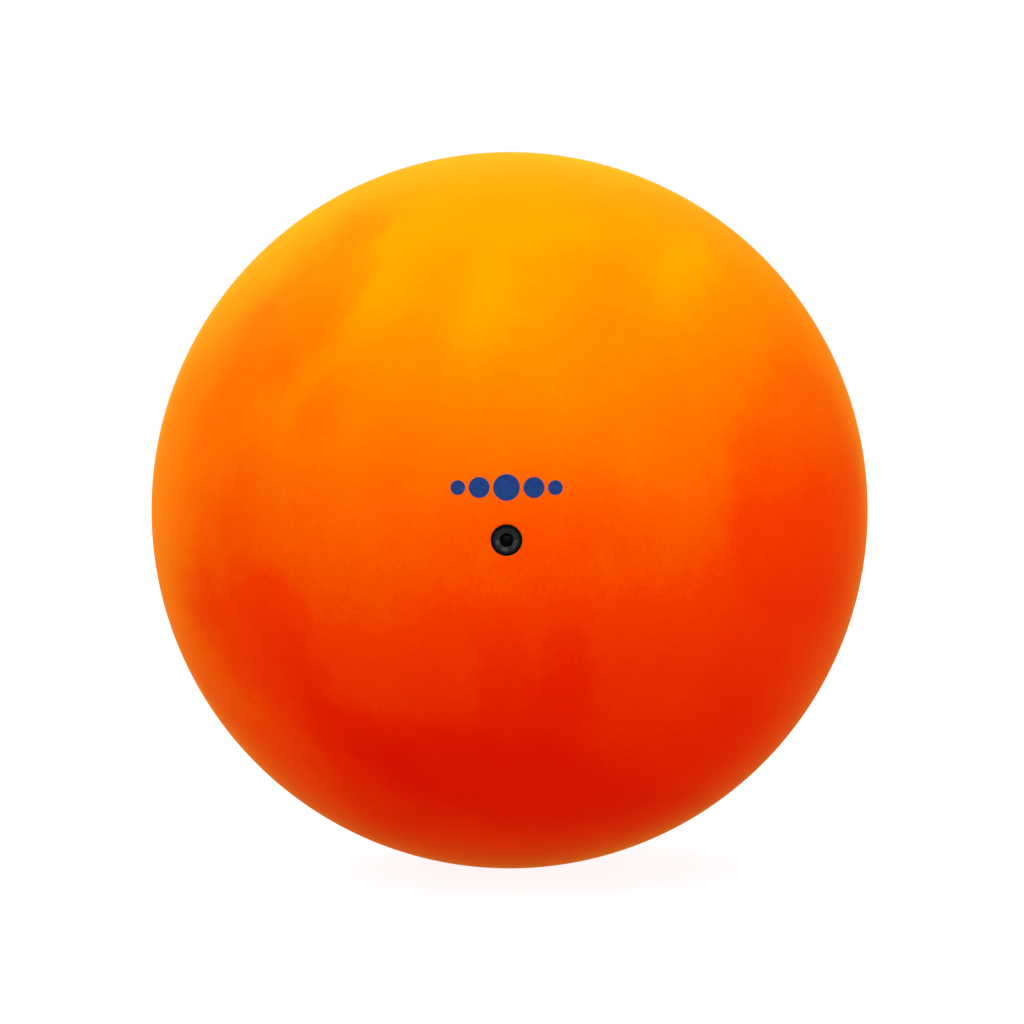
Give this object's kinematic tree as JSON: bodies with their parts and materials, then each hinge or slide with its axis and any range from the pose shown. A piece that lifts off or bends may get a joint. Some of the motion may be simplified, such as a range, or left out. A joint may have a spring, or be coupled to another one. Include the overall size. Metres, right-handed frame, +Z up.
{
  "type": "rhythmic gymnastics ball",
  "caption": "Seamless hollow rubber ball for rhythmic gymnastics, with a plug valve pressed into a thickened seat in its wall for a pump's needle.",
  "frame": {"origin": "the ball's centre", "axes": "-Y out along the valve's axis, +Z up with the printed mark above the valve, +X to the right for someone who faces the valve"},
  "size_m": [0.19, 0.1899, 0.19],
  "materials": {
    "ball_rubber": "matte",
    "valve_rubber": "satin",
    "print_ink": "satin"
  },
  "bodies": {
    "root": {"ball_shell": "ball_rubber", "valve": "valve_rubber"}
  },
  "joints": []
}
